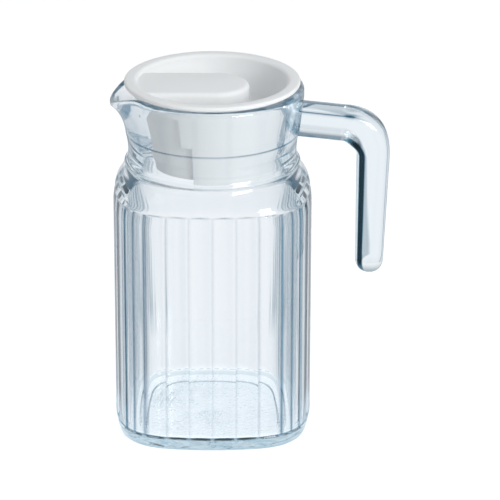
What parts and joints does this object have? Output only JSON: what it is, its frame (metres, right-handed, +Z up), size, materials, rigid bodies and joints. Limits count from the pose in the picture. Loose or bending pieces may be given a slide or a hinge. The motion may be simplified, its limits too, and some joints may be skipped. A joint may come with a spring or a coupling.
{
  "type": "glass pitcher with lid",
  "caption": "Small fluted square-bodied glass pitcher with a round neck, pouring spout and open-ended handle, closed by a white plastic drop-in lid with a grip bar.",
  "frame": {"origin": "centre of the base on the jug's own axis, at the height of the surface it stands on", "axes": "+Z up the jug's axis; +X from the axis to the handle, so the spout points to -X; +Y completes the right-handed frame"},
  "size_m": [0.119, 0.0848, 0.154],
  "materials": {
    "clear_glass": "polished pressed glass, clear with a faint cool tint",
    "white_plastic": "satin moulded white plastic"
  },
  "bodies": {
    "pitcher": {"jug": "clear_glass", "handle": "clear_glass"},
    "lid": {"lid": "white_plastic"}
  },
  "joints": [
    {"name": "lid_lift", "type": "slide", "parent": "pitcher", "child": "lid", "axis": [0, 0, 1], "range_m": [0, 0.06]}
  ]
}
